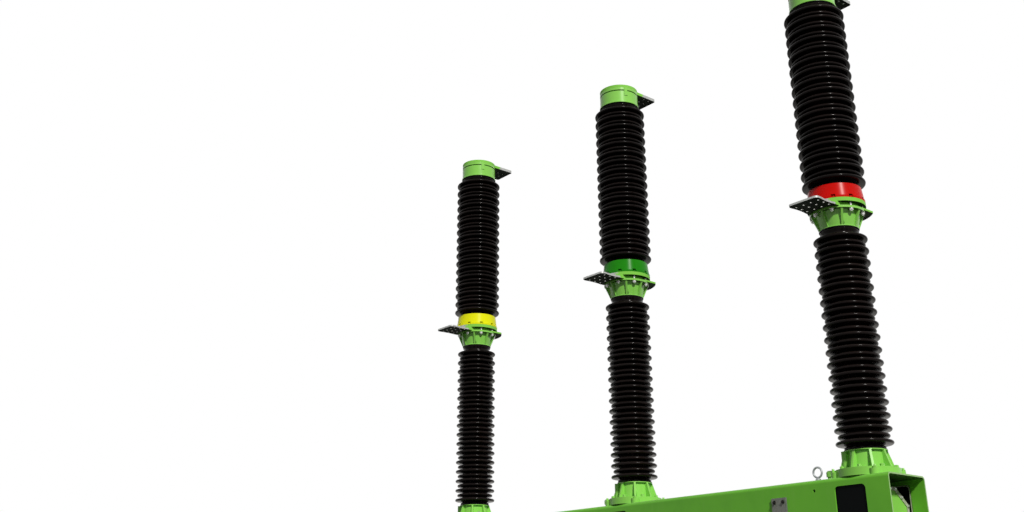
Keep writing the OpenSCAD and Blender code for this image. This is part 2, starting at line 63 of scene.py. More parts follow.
# Painted shade: near-black for the terminals' faces that look down
UNDERSIDE_SHADE_DARK = (0.007, 0.010, 0.007)
BRIGHT_ZINC = ((0.42, 0.44, 0.45), (0.27, 0.29, 0.30))
DULL_ZINC = ((0.200, 0.215, 0.190), (0.105, 0.118, 0.100))
STAIN = (0.120, 0.095, 0.060)
GLAZE = ((0.0052, 0.0036, 0.0034), (0.0090, 0.0048, 0.0042))
SHED_DUST = (0.17, 0.16, 0.14)
PLATED_STEEL = ((0.50, 0.50, 0.49), (0.78, 0.78, 0.76))
SEALED_JOINT = ((0.30, 0.34, 0.22), (0.48, 0.52, 0.40))
RUST = (0.170, 0.062, 0.022)
SEAL_RUBBER = ((0.0030, 0.0034, 0.0036), (0.0080, 0.0084, 0.0088))
COVER_BLACK = ((0.0014, 0.0020, 0.0022), (0.0032, 0.0040, 0.0042))
# Black of the cheek bolts: black oxide, and also painted shade standing in for the dark slots
OXIDE_AND_SLOT_SHADE_BLACK = ((0.0050, 0.0050, 0.0045), (0.0150, 0.0140, 0.0110))
FLOOR_PALE = ((0.80, 0.80, 0.79), (0.84, 0.84, 0.83))
FLOOR_BOUNCE = (0.085, 0.090, 0.080)

# Heights of a face's unit normal between which the face passes from steep to level

UPWARD = (0.55, 0.95)
SHED_UPWARD = (0.35, 0.95)
DOWNWARD = (-0.45, -0.90)

# Inputs and output of the mix node that carry colours

MIX_FIRST, MIX_SECOND, MIX_RESULT = 6, 7, 2

BEVEL_SAMPLES = 4


# Shader building

def seen_directly(tree):
    """1 for what the camera sees, straight or by way of gloss and glass, and 0 for other light."""
    path = tree.nodes.new("ShaderNodeLightPath")
    seen = path.outputs["Is Camera Ray"]
    for key in ("Is Glossy Ray", "Is Transmission Ray"):
        either = tree.nodes.new("ShaderNodeMath")
        either.operation = "MAXIMUM"
        tree.links.new(seen, either.inputs[0])
        tree.links.new(path.outputs[key], either.inputs[1])
        seen = either.outputs[0]
    return seen


class Shader:
    """A node tree in the making: short calls that add a node and link its inputs."""

    def __init__(self, name):
        self.material = bpy.data.materials.new(name)
        self.material.use_nodes = True
        self.tree = self.material.node_tree
        self.tree.nodes.clear()
        self.output = self.add("ShaderNodeOutputMaterial")
        self.surface = self.add("ShaderNodeBsdfPrincipled")
        self.link(self.surface.outputs["BSDF"], self.output.inputs["Surface"])
        self.place = self.add("ShaderNodeTexCoord").outputs["Object"]
        self.normal = self.add("ShaderNodeNewGeometry").outputs["Normal"]

    def add(self, kind, **settings):
        made = self.tree.nodes.new(kind)
        for key, value in settings.items():
            setattr(made, key, value)
        return made

    def link(self, source, target):
        """Links an output to an input, or sets the input to a plain value."""
        if hasattr(source, "is_output"):
            self.tree.links.new(source, target)
        else:
            target.default_value = source

    def stretched(self, factors):
        made = self.add("ShaderNodeVectorMath", operation="MULTIPLY")
        self.link(self.place, made.inputs[0])
        made.inputs[1].default_value = factors
        return made.outputs[0]

    def noise(self, scale, detail=3.0, roughness=0.5, stretch=None):
        """Noise with about this many features to a metre, times the stretch along each axis."""
        made = self.add("ShaderNodeTexNoise")
        self.link(self.stretched(stretch) if stretch else self.place, made.inputs["Vector"])
        made.inputs["Scale"].default_value = scale
        made.inputs["Detail"].default_value = detail
        made.inputs["Roughness"].default_value = roughness
        return made.outputs["Fac"]

    def patches(self, scale, low, high, amount=(0.0, 1.0), **options):
        """Noise in which low..high becomes the amount, so that it falls into patches."""
        return self.span(self.noise(scale, **options), low, high, *amount)

    def cells(self, scale):
        """Cells with a number of their own each, about this many to a metre."""
        made = self.add("ShaderNodeTexVoronoi")
        self.link(self.place, made.inputs["Vector"])
        made.inputs["Scale"].default_value = scale
        return self.axis(made.outputs["Color"], "X")

    def span(self, value, low, high, out_low=0.0, out_high=1.0):
        """Maps low..high of a value to out_low..out_high, held at the ends."""
        made = self.add("ShaderNodeMapRange")
        self.link(value, made.inputs["Value"])
        ends = (("From Min", low), ("From Max", high), ("To Min", out_low), ("To Max", out_high))
        for key, number in ends:
            made.inputs[key].default_value = number
        return made.outputs["Result"]

    def between(self, share, start, end):
        """A number that goes from start to end as the share goes from 0 to 1."""
        return self.span(share, 0.0, 1.0, start, end)

    def math(self, operation, first, second=0.0):
        made = self.add("ShaderNodeMath", operation=operation)
        self.link(first, made.inputs[0])
        self.link(second, made.inputs[1])
        return made.outputs[0]

    def times(self, first, second):
        return self.math("MULTIPLY", first, second)

    def plus(self, first, second):
        return self.math("ADD", first, second)

    def mix(self, factor, first, second):
        """A colour that goes from first to second as the factor goes from 0 to 1."""
        made = self.add("ShaderNodeMix", data_type="RGBA")
        self.link(factor, made.inputs["Factor"])
        for value, number in ((first, MIX_FIRST), (second, MIX_SECOND)):
            self.link(value + (1.0,) if isinstance(value, tuple) else value, made.inputs[number])
        return made.outputs[MIX_RESULT]

    def axis(self, vector, name):
        made = self.add("ShaderNodeSeparateXYZ")
        self.link(vector, made.inputs[0])
        return made.outputs[name]

    def facing(self, low, high):
        """How far the surface faces up, or down where low and high are negative."""
        return self.span(self.axis(self.normal, "Z"), low, high)

    def rounded_normal(self, radius):
        """The surface's normal as it would be with corners of this radius."""
        bevel = self.add("ShaderNodeBevel", samples=BEVEL_SAMPLES)
        bevel.inputs["Radius"].default_value = radius
        return bevel.outputs["Normal"]

    def edges(self, radius, low=0.03, high=0.12):
        """Where the surface turns a corner sharper than the radius."""
        rounded = self.rounded_normal(radius)
        turned = self.add("ShaderNodeVectorMath", operation="DOT_PRODUCT")
        self.link(rounded, turned.inputs[0])
        self.link(self.normal, turned.inputs[1])
        return self.span(turned.outputs["Value"], 1.0 - low, 1.0 - high)

    def bump(self, height, strength, distance, rounded=0.0):
        made = self.add("ShaderNodeBump")
        made.inputs["Strength"].default_value = strength
        made.inputs["Distance"].default_value = distance
        self.link(height, made.inputs["Height"])
        if rounded:
            self.link(self.rounded_normal(rounded), made.inputs["Normal"])
        self.link(made.outputs["Normal"], self.surface.inputs["Normal"])

    def finish(self, colour, roughness, metallic=0.0, specular=0.5):
        for value, key in ((colour, "Base Color"), (roughness, "Roughness"), (metallic, "Metallic")):
            self.link(value, self.surface.inputs[key])
        self.surface.inputs["Specular IOR Level"].default_value = specular
        return self.material


# Finishes

def paint(name, tones, faded=FADED, grain_scale=420.0, grain=0.10, rounded=0.0, dust=0.35,
          worn=0.0, cut_at=0.0, gloss=(0.30, 0.42), specular=0.20, underside_shade=0.80):
    """Weathered gloss paint: cloudy fading, rain streaks, dust above, painted shade on faces that look
    down, worn edges.

    Faces that look along the beam further out than cut_at are sheared, thinly painted sheet edges;
    their paleness is partly that paint and partly a painted highlight of the lit end faces.
    """
    bright, deep = tones
    mottling, streaking = 0.18, 0.16
    dust_roughness = 0.5
    edge_r = 0.003
    sideways_from, sideways_to = 0.90, 0.98
    shader = Shader(name)

    clouds = shader.patches(scale=1.7, low=0.32, high=0.70, detail=4.0, roughness=0.6)
    mottle = shader.patches(scale=23.0, low=0.35, high=0.68)
    streaks = shader.patches(scale=1.0, low=0.55, high=0.80, detail=4.0, roughness=0.62,
                             stretch=(38.0, 38.0, 1.6))
    colour = shader.mix(clouds, deep, bright)
    colour = shader.mix(shader.times(mottle, mottling), colour, bright)
    colour = shader.mix(shader.times(streaks, streaking), colour, faded)

    settled = shader.times(shader.facing(*UPWARD), shader.between(mottle, 0.5 * dust, dust))
    colour = shader.mix(settled, colour, DUST)
    # Painted shade: faces that look down are darkened towards near-black, standing in for the shade
    # under things
    under = shader.between(clouds, 1.08 * underside_shade, 0.92 * underside_shade)
    colour = shader.mix(shader.times(shader.facing(*DOWNWARD), under), colour, PAINTED_UNDERSIDE_SHADE)

    if worn:
        rubbed = shader.span(mottle, low=0.2, high=0.8, out_low=0.3 * worn, out_high=worn)
        colour = shader.mix(shader.times(shader.edges(edge_r), rubbed), colour, WORN_AND_HIGHLIGHT)
    if cut_at:
        # Cut ends of the beam: paler for their thinly painted edges, and as a painted highlight of the
        # lit end faces
        along_beam = shader.math("ABSOLUTE", shader.axis(shader.normal, "X"))
        sideways = shader.span(along_beam, sideways_from, sideways_to)
        outward = shader.math("ABSOLUTE", shader.axis(shader.place, "X"))
        ends = shader.times(sideways, shader.math("GREATER_THAN", outward, cut_at))
        thin_paint_and_highlight = shader.patches(scale=31.0, low=0.30, high=0.65, amount=(0.45, 0.90), detail=4.0,
                              roughness=0.6)
        colour = shader.mix(shader.times(ends, thin_paint_and_highlight), colour, WORN_AND_HIGHLIGHT)

    roughness = shader.plus(shader.between(clouds, *gloss), shader.times(settled, dust_roughness))
    shader.bump(shader.noise(grain_scale, detail=2.0), strength=grain, distance=0.0006, rounded=rounded)
    return shader.finish(colour, roughness, specular=specular)


def bare_ended_paint(name, tones, inner, outer):
    """Cast terminal: painted at the pole, bare oxidised metal on the tongue, and painted shade on the
    faces that look down.

    The paint ends raggedly between inner and outer, counted from the poles' plane.
    """
    bright, deep = tones
    ragged_by = 0.006
    metal_shine = 0.60
    darkening = 0.96
    under_roughness = 0.25
    shader = Shader(name)

    clouds = shader.patches(scale=2.0, low=0.32, high=0.70, detail=4.0, roughness=0.6)
    painted = shader.mix(clouds, deep, bright)
    scuff = shader.patches(scale=90.0, low=0.3, high=0.7, detail=4.0, roughness=0.7)
    metal = shader.mix(scuff, *ALUMINIUM)
    reach = shader.math("ABSOLUTE", shader.axis(shader.place, "Y"))
    ragged = shader.patches(scale=60.0, low=0.3, high=0.7, amount=(-ragged_by, ragged_by))
    bare = shader.span(shader.plus(reach, ragged), inner, outer)
    # Painted shade: faces that look down turn near-black and lose their shine
    under = shader.facing(*DOWNWARD)
    colour = shader.mix(bare, painted, metal)
    colour = shader.mix(shader.times(under, darkening), colour, UNDERSIDE_SHADE_DARK)

    metallic = shader.times(shader.between(bare, 0.0, metal_shine), shader.between(under, 1.0, 0.0))
    roughness = shader.plus(shader.between(bare, 0.32, 0.44), shader.times(under, under_roughness))
    shader.bump(shader.noise(scale=260.0), strength=0.12, distance=0.0008, rounded=0.0015)
    return shader.finish(colour, roughness, metallic, specular=0.02)


def galvanised(name, tones, metallic=(0.68, 0.40)):
    """Hot-dip zinc: pale and dark spangle, cloudy oxide, pale patches and brown streaks.

    The two values of metallic are those of the clean zinc and of the oxide.
    """
    pale, dark = tones
    oxide_pale = tuple(1.15 * part for part in pale)
    patch_pale = tuple(1.4 * part for part in pale)
    oxide_cover, oxide_roughness = 0.45, 0.12
    shader = Shader(name)

    spangle = shader.cells(scale=55.0)
    oxide = shader.patches(scale=3.1, low=0.36, high=0.66, detail=5.0, roughness=0.62)
    colour = shader.mix(shader.between(spangle, 0.15, 0.85), dark, pale)
    colour = shader.mix(shader.times(oxide, oxide_cover), colour, oxide_pale)
    patches = shader.patches(scale=9.0, low=0.58, high=0.72, amount=(0.0, 0.5), detail=6.0,
                             roughness=0.7)
    colour = shader.mix(patches, colour, patch_pale)
    streaks = shader.patches(scale=1.0, low=0.55, high=0.78, amount=(0.0, 0.5), detail=4.0,
                             roughness=0.6, stretch=(45.0, 45.0, 2.0))
    colour = shader.mix(streaks, colour, STAIN)

    roughness = shader.plus(shader.between(spangle, 0.42, 0.54), shader.times(oxide, oxide_roughness))
    shader.bump(shader.noise(scale=120.0), strength=0.10, distance=0.0006, rounded=0.0012)
    return shader.finish(colour, roughness, shader.between(oxide, *metallic), specular=0.3)


def glazed_porcelain(name):
    """Near-black brown glaze with a thin film of dust on the upper faces of the sheds."""
    dust_roughness = 1.4
    shader = Shader(name)
    flow = shader.patches(scale=6.0, low=0.35, high=0.68, detail=4.0, roughness=0.55,
                          stretch=(1.0, 1.0, 0.35))
    film = shader.patches(scale=14.0, low=0.35, high=0.75, detail=5.0, roughness=0.65)
    settled = shader.times(shader.facing(*SHED_UPWARD), shader.between(film, 0.02, 0.10))
    colour = shader.mix(settled, shader.mix(flow, *GLAZE), SHED_DUST)
    roughness = shader.plus(shader.between(flow, 0.15, 0.20), shader.times(settled, dust_roughness))
    shader.bump(shader.noise(scale=38.0, detail=2.0), strength=0.04, distance=0.0007)
    return shader.finish(colour, roughness, specular=0.07)


def fastener_metal(name):
    """Plated steel with bright and dull patches."""
    shader = Shader(name)
    wear = shader.patches(scale=150.0, low=0.3, high=0.7, roughness=0.6)
    colour = shader.mix(wear, *PLATED_STEEL)
    return shader.finish(colour, shader.between(wear, 0.42, 0.28), metallic=0.70)


def matt_black(name, tones, specular=0.15):
    """Rubber, bitumen or black oxide: black with a dull bloom."""
    shader = Shader(name)
    bloom = shader.patches(scale=70.0, low=0.3, high=0.7)
    colour = shader.mix(bloom, *tones)
    shader.bump(shader.noise(scale=500.0, detail=2.0), strength=0.1, distance=0.0004)
    return shader.finish(colour, shader.between(bloom, 0.50, 0.65), specular=specular)


def joint_metal(name):
    """Pale sealed joint with rubbed paint and specks of rust."""
    shader = Shader(name)
    wear = shader.patches(scale=110.0, low=0.3, high=0.7, detail=4.0, roughness=0.65)
    specks = shader.patches(scale=190.0, low=0.62, high=0.70, amount=(0.0, 0.6), roughness=0.6)
    colour = shader.mix(specks, shader.mix(wear, *SEALED_JOINT), RUST)
    return shader.finish(colour, roughness=0.5, specular=0.3)


def floor_finish(name):
    """Pale studio floor that throws little light back onto the undersides."""
    shader = Shader(name)
    mottle = shader.patches(scale=0.6, low=0.3, high=0.7)
    pale = shader.mix(mottle, *FLOOR_PALE)
    colour = shader.mix(seen_directly(shader.tree), FLOOR_BOUNCE, pale)
    return shader.finish(colour, roughness=0.9, specular=0.1)


def make_finishes():
    """Every finish by its short name; the phase paints go by their colours."""
    beam_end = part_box("beam_top_plate")[1].x
    cut_depth = 0.001
    cast = {"grain_scale": 170.0, "rounded": 0.002}
    finishes = {
        "casting": paint("cast_green_paint", CASTING_GREEN, grain=0.05, worn=0.30,
                         gloss=(0.20, 0.26), specular=0.34, **cast),
        # The foot flange gets only a little painted shade on its faces that look down
        "foot": paint("foot_green_paint", CASTING_GREEN, grain=0.08, worn=0.30,
                      gloss=(0.24, 0.32), specular=0.26, underside_shade=0.15, **cast),
        "beam": paint("beam_green_paint", SHEET_GREEN, cut_at=beam_end - cut_depth),
        "sheet": paint("sheet_green_paint", SHEET_GREEN),
        "zinc": galvanised("bright_zinc", BRIGHT_ZINC),
        "dull_zinc": galvanised("dull_zinc", DULL_ZINC, metallic=(0.30, 0.10)),
        "terminal": bare_ended_paint("terminal_metal", CASTING_GREEN, inner=0.150, outer=0.160),
        "porcelain": glazed_porcelain("brown_glaze"),
        "fastener": fastener_metal("plated_steel"),
        "joint": joint_metal("joint_metal"),
        "seal": matt_black("black_seal", SEAL_RUBBER, specular=0.12),
        "cover": matt_black("cover_black", COVER_BLACK, specular=0.04),
        # Black of the cheek bolts, which also stands in as painted shade for the dark slots
        "oxide": matt_black("black_oxide_and_slot_shade", OXIDE_AND_SLOT_SHADE_BLACK),
    }
    for colour, tones in PHASE_PAINT.items():
        finishes[colour] = paint(f"{colour}_phase_paint", tones, faded=tones[0], grain=0.04,
                                 dust=0.10, gloss=(0.22, 0.26), specular=0.07, **cast)
    return finishes


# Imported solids

POLE_NODES = {
    "foot": ("base_flange",),
    "casting": ("middle_flange", "top_fitting", "crank_housing"),
    "terminal": ("lower_terminal", "top_terminal"),
    "porcelain": ("lower_insulator", "upper_insulator"),
}
SHARED_NODES = {
    "beam": ("beam_top_plate", "beam_front_wall", "beam_back_wall"),
    "sheet": ("drive_cabinet", "cabinet_door", "cabinet_roof"),
    "casting": ("gas_couplings",),
    "cover": ("front_window_covers", "back_window_covers"),
    "zinc": ("lifting_eyes", "coupling_rods", "drive_rod", "cabinet_hangers"),
    "dull_zinc": ("support_heads", "support_columns", "support_feet"),
}
SAME_POINT = 1e-6


def dress_solid(name, material):
    """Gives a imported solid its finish."""
    data = nodes[name].data
    data.materials.clear()
    data.materials.append(material)


def shade_as_curve(name):
    """Shades the facets round the sheds' rims as one curve; no point of the shape moves."""
    weld = nodes[name].modifiers.new("shared_corners", "WELD")
    weld.merge_threshold = SAME_POINT
    curve = nodes[name].modifiers.new("curved_shading", "WEIGHTED_NORMAL")
    curve.mode = "FACE_AREA"
    curve.keep_sharp = False


def dress_solids(finishes):
    """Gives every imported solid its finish."""
    for colour in COLOURS:
        for finish, parts in POLE_NODES.items():
            for part in parts:
                dress_solid(f"{colour}_{part}", finishes[finish])
        dress_solid(f"{colour}_phase_ring", finishes[colour])
        for part in POLE_NODES["porcelain"]:
            shade_as_curve(f"{colour}_{part}")
    for finish, names in SHARED_NODES.items():
        for name in names:
            dress_solid(name, finishes[finish])


# Places

def upright(x, y, z):
    """A place whose local Z axis points up."""
    return Matrix.Translation((x, y, z))


def hanging(x, y, z):
    """A place whose local Z axis points down."""
    return Matrix.Translation((x, y, z)) @ Matrix.Rotation(math.pi, 4, "X")


def facing_y(x, y, z, side):
    """A place whose local Z axis points towards +Y or -Y."""
    return Matrix.Translation((x, y, z)) @ Matrix.Rotation(-side * math.pi / 2, 4, "X")


def facing_x(x, y, z, side):
    """A place whose local Z axis points towards +X or -X."""
    return Matrix.Translation((x, y, z)) @ Matrix.Rotation(side * math.pi / 2, 4, "Y")


def places_round(x, z, radius, place_of, turn, count):
    """Places spread evenly round a pole's axis, each with its angle."""
    for k in range(count):
        angle = turn + k * math.tau / count
        yield angle, place_of(x + radius * math.cos(angle), radius * math.sin(angle), z)


def pole_x(colour):
    """Where a pole's axis stands along the beam."""
    low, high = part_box(f"{colour}_upper_insulator")
    return (low.x + high.x) / 2


# Forms

CORNER_STEPS = 5
SMOOTH_BELOW = math.radians(40.0)


def ring_points(count, radius, z, turn):
    return [Vector((radius * math.cos(turn + k * math.tau / count),
                    radius * math.sin(turn + k * math.tau / count), z)) for k in range(count)]


def lathe(mesh, profile, count, place, turn=0.0):
    """Closed solid of revolution about the local Z axis, from (radius, height) pairs, at a place."""
    rings = [[mesh.verts.new(place @ p) for p in ring_points(count, r, z, turn)] for r, z in profile]
    for low, high in zip(rings, rings[1:]):
        for k in range(count):
            n = (k + 1) % count
            mesh.faces.new((low[k], low[n], high[n], high[k]))
    mesh.faces.new(list(reversed(rings[0])))
    mesh.faces.new(rings[-1])


def slab(mesh, outline, low, high, place):
    """Closed prism from an outline in the local XY plane, between two local heights."""
    bottom = [mesh.verts.new(place @ Vector((x, y, low))) for x, y in outline]
    top = [mesh.verts.new(place @ Vector((x, y, high))) for x, y in outline]
    for k in range(len(outline)):
        n = (k + 1) % len(outline)
        mesh.faces.new((bottom[k], bottom[n], top[n], top[k]))
    mesh.faces.new(list(reversed(bottom)))
    mesh.faces.new(top)


def hoop(mesh, outer, inner, low, high, place):
    """Flat closed band between two outlines of as many points, between two local heights."""
    rings = [[mesh.verts.new(place @ Vector((x, y, z))) for x, y in outline]
             for outline, z in ((outer, low), (outer, high), (inner, high), (inner, low))]
    count = len(outer)
    for first, second in zip(rings, rings[1:] + rings[:1]):
        for k in range(count):
            n = (k + 1) % count
            mesh.faces.new((first[k], first[n], second[n], second[k]))


def rounded_outline(width, height, radius):
    """Rectangle with rounded corners, centred."""
    points = []
    for k, (sx, sy) in enumerate(((1, 1), (-1, 1), (-1, -1), (1, -1))):
        centre_x, centre_y = sx * (width / 2 - radius), sy * (height / 2 - radius)
        for step in range(CORNER_STEPS + 1):
            angle = math.radians(90 * k + 90 * step / CORNER_STEPS)
            points.append((centre_x + radius * math.cos(angle), centre_y + radius * math.sin(angle)))
    return points


def piece(name, build, material):
    """Makes one named mesh piece that rides on the breaker."""
    mesh = bmesh.new()
    build(mesh)
    bmesh.ops.recalc_face_normals(mesh, faces=mesh.faces)
    data = bpy.data.meshes.new(name)
    mesh.to_mesh(data)
    mesh.free()
    made = bpy.data.objects.new(name, data)
    bpy.context.scene.collection.objects.link(made)
    data.materials.append(material)
    data.shade_smooth()
    data.set_sharp_from_angle(angle=SMOOTH_BELOW)
    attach(made, "root")


# Bolts: their nominal sizes

M8 = 0.008
M10 = 0.010
M12 = 0.012
M14 = 0.014
M24 = 0.024

# Bolts: proportions, as shares of the nominal size

WASHER_R = 1.0
WASHER_T = 0.16
NUT_ACROSS = 1.5
NUT_H = 0.82
THREAD_R = 0.5
THREAD_END_R = 0.4

# Bolts: how much of a thread end is straight

THREAD_STRAIGHT = 0.8

# Bolts: depth of a head's chamfer as a share of its corner radius, and its height as a share of that

HEAD_CHAMFER = 0.12
HEAD_CHAMFER_RISE = 0.6

# Bolts: sides of the round parts

WASHER_SIDES = 20
THREAD_SIDES = 12


def hex_head(mesh, place, across, height, turn):
    """Hexagon head or nut with chamfered corners, standing on the local z = 0 plane."""
    corner = across / math.sqrt(3)
    chamfer = HEAD_CHAMFER * corner
    shoulder = height - chamfer * HEAD_CHAMFER_RISE
    lathe(mesh, ((corner, 0.0), (corner, shoulder), (corner - chamfer, height)), 6, place, turn)


def bolt(mesh, place, size, stub=0.0, turn=0.0, washer=True):
    """Washer, head or nut, and thread end of a bolt, standing on the local z = 0 plane."""
    seat = 0.0
    if washer:
        seat = WASHER_T * size
        lathe(mesh, ((WASHER_R * size, 0.0), (WASHER_R * size, seat)), WASHER_SIDES, place)
    height = NUT_H * size
    hex_head(mesh, place @ upright(0, 0, seat), NUT_ACROSS * size, height, turn)
    if stub:
        top = seat + height
        straight, end = top + stub * size * THREAD_STRAIGHT, top + stub * size
        thread = ((THREAD_R * size, top), (THREAD_R * size, straight), (THREAD_END_R * size, end))
        lathe(mesh, thread, THREAD_SIDES, place)


def bolt_circle(mesh, x, z, radius, size, place_of, turn, count, **options):
    """Bolts spread evenly round a pole's axis."""
    for angle, place in places_round(x, z, radius, place_of, turn, count):
        bolt(mesh, place, size, turn=angle, **options)


# Poles: foot plate and lugs of the base flange

FOOT_PLATE_T = 0.042
FOOT_BOLTS = 8
FOOT_BOLT_R = 0.150
FOOT_BOLT_TURN = math.radians(18)
LUG_T = 0.030
LUGS = 4
LUG_BOLT_R = 0.1815
LUG_TURN = math.radians(45)

# Poles: rim of the middle flange, ring flange of the lower terminal above it, and phase ring

RIM_T = 0.014
RIM_BOLTS = 8
RIM_BOLT_R = 0.143
RIM_BOLT_TURN = math.radians(22.5)
RING_FLANGE_T = 0.023
RING_BOLTS = 10
RING_BOLT_R = 0.159
RING_BOLT_TURN = math.radians(12)

# Poles: gaskets at the ends of the porcelains

SEAL_T = 0.005
SEAL_W = 0.012
SEAL_BULGE = 0.0015
SEAL_SIDES = 64
LOWER_SEAL_R = 0.1115
RING_SEAL_R = 0.1380
TOP_SEAL_R = 0.1375


def dress_pole(colour, finishes):
    """Bolts and seals of one pole."""
    x = pole_x(colour)
    base_low, base_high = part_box(f"{colour}_base_flange")
    middle_low, middle_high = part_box(f"{colour}_middle_flange")
    terminal_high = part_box(f"{colour}_lower_terminal")[1]
    ring_low, ring_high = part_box(f"{colour}_phase_ring")
    top_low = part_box(f"{colour}_top_fitting")[0]

    def base_bolts(mesh):
        bolt_circle(mesh, x, base_low.z + FOOT_PLATE_T, FOOT_BOLT_R, M14, upright, FOOT_BOLT_TURN,
                    FOOT_BOLTS, stub=0.15)
        bolt_circle(mesh, x, base_low.z + LUG_T, LUG_BOLT_R, M14, upright, LUG_TURN, LUGS,
                    stub=0.6, washer=False)

    def middle_bolts(mesh):
        """Nuts under the middle flange's rim, and the shanks between it and the ring flange."""
        bolt_circle(mesh, x, middle_high.z - RIM_T, RIM_BOLT_R, M14, hanging, RIM_BOLT_TURN,
                    RIM_BOLTS, stub=0.35)
        gap = terminal_high.z - RING_FLANGE_T - middle_high.z
        shank = ((M14 / 2, 0.0), (M14 / 2, gap))
        for _, place in places_round(x, middle_high.z, RIM_BOLT_R, upright, RIM_BOLT_TURN, RIM_BOLTS):
            lathe(mesh, shank, THREAD_SIDES, place)

    def ring_bolts(mesh):
        bolt_circle(mesh, x, ring_low.z, RING_BOLT_R, M10, upright, RING_BOLT_TURN, RING_BOLTS,
                    stub=0.3, washer=False)

    def seals(mesh):
        """Gaskets at both ends of both porcelains, bulging a little at half their height."""
        for low, radius in ((base_high.z, LOWER_SEAL_R), (middle_low.z - SEAL_T, LOWER_SEAL_R),
                            (ring_high.z, RING_SEAL_R), (top_low.z - SEAL_T, TOP_SEAL_R)):
            inner, high = radius - SEAL_W, low + SEAL_T
            profile = ((inner, low), (radius, low), (radius + SEAL_BULGE, (low + high) / 2),
                       (radius, high), (inner, high))
            lathe(mesh, profile, SEAL_SIDES, upright(x, 0, 0))

    piece(f"{colour}_base_bolts", base_bolts, finishes["casting"])
    piece(f"{colour}_middle_bolts", middle_bolts, finishes["fastener"])
    piece(f"{colour}_ring_bolts", ring_bolts, finishes[colour])
    piece(f"{colour}_joint_seals", seals, finishes["seal"])


# Crank housings: half widths across the beam, and drops under the beam's top

RIDGE_HALF = 0.048
RIDGE_DROP = 0.054
SHOULDER_HALF = 0.153
SHOULDER_DROP = 0.140
BOTTOM_DROP = 0.290

# Crank housings: how far a corner moves along its level or upright side, as a share of an inset

CORNER_SHARE = 0.42

# Crank housings: half length along the beam, end covers, and the seam behind each cover

HOUSING_HALF_X = 0.118
COVER_T = 0.020
SEAM_W = 0.006
SEAM_PROUD = 0.0008
COVER_BOLT_INSET = 0.0085
COVER_BOLT_PITCH = 0.052

# Bands on a cover's face: insets of the outer and the inner edge, and how far the band stands out

COVER_BANDS = ((-0.0007, 0.0055, 0.0009), (0.0125, 0.0176, 0.0009), (0.0050, 0.0130, 0.0003))
BAND_DEPTH = 0.0025


def gable(inset):
    """Outline of a crank housing as (y, drop under the beam's top), smaller by the inset."""
    side = inset * CORNER_SHARE
    half = ((RIDGE_HALF - side, RIDGE_DROP + inset),
            (SHOULDER_HALF - inset, SHOULDER_DROP + side),
            (SHOULDER_HALF - inset, BOTTOM_DROP - inset))
    return list(half) + [(-y, drop) for y, drop in reversed(half)]


def along(outline, pitch):
    """Points on a closed outline, evenly spread over each of its sides at about the pitch."""
    points = []
    for start, end in zip(outline, outline[1:] + outline[:1]):
        steps = max(1, round(math.dist(start, end) / pitch))
        for k in range(steps):
            share = k / steps
            points.append(tuple(a + (b - a) * share for a, b in zip(start, end)))
    return points


def dress_housing(colour, beam_top, finishes):
    """Joint edges and cover bolts of a crank housing."""
    x = pole_x(colour)
    # Local X runs along +Y, local Y down from the beam's top, and local Z along the beam
    across = Matrix(((0, 0, 1, x), (1, 0, 0, 0), (0, -1, 0, beam_top), (0, 0, 0, 1)))

    def joints(mesh):
        for side in (-1, 1):
            seam = side * (HOUSING_HALF_X - COVER_T)
            slab(mesh, gable(-SEAM_PROUD), *sorted((seam, seam + side * SEAM_W)), across)
            back = side * (HOUSING_HALF_X - BAND_DEPTH)
            for outer, inner, proud in COVER_BANDS:
                face = side * (HOUSING_HALF_X + proud)
                hoop(mesh, gable(outer), gable(inner), *sorted((back, face)), across)

    def cover_bolts(mesh):
        for side in (-1, 1):
            for y, drop in along(gable(COVER_BOLT_INSET), COVER_BOLT_PITCH):
                bolt(mesh, facing_x(x + side * HOUSING_HALF_X, y, beam_top - drop, side), M8)

    piece(f"{colour}_housing_joints", joints, finishes["joint"])
    piece(f"{colour}_housing_bolts", cover_bolts, finishes["fastener"])


# Window covers in the beam

WINDOW_R = 0.024
BEAD_W = 0.005
BEAD_BACK = -0.0005
BEAD_FRONT = 0.0020


def dress_covers(name, side, finishes):
    """Pale sealing beads round the covers of one wall's windows, inside the beam.

    The beam's inside lies towards +Y of the wall where side is 1, and towards -Y where it is -1.
    """
    low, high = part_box(f"{name}_window_covers")
    width = (high.x - low.x) - 2 * abs(pole_x("red"))
    height = high.z - low.z
    shift = (high.x + low.x) / 2
    inner_y = high.y if side > 0 else low.y

    def rims(mesh):
        for colour in COLOURS:
            place = facing_y(pole_x(colour) + shift, inner_y, (low.z + high.z) / 2, side)
            outer = rounded_outline(width, height, WINDOW_R)
            inner = rounded_outline(width - 2 * BEAD_W, height - 2 * BEAD_W, WINDOW_R - BEAD_W)
            hoop(mesh, outer, inner, BEAD_BACK, BEAD_FRONT, place)

    piece(f"{name}_cover_rims", rims, finishes["joint"])


# Supports

SLOT_HALF_PITCH = 0.029
SLOT_DROP = 0.097
CHEEK_T = 0.010
BEAM_WALL_T = 0.008
FOOT_HALF = 0.220
FOOT_T = 0.020
ANCHOR_AT = 0.170


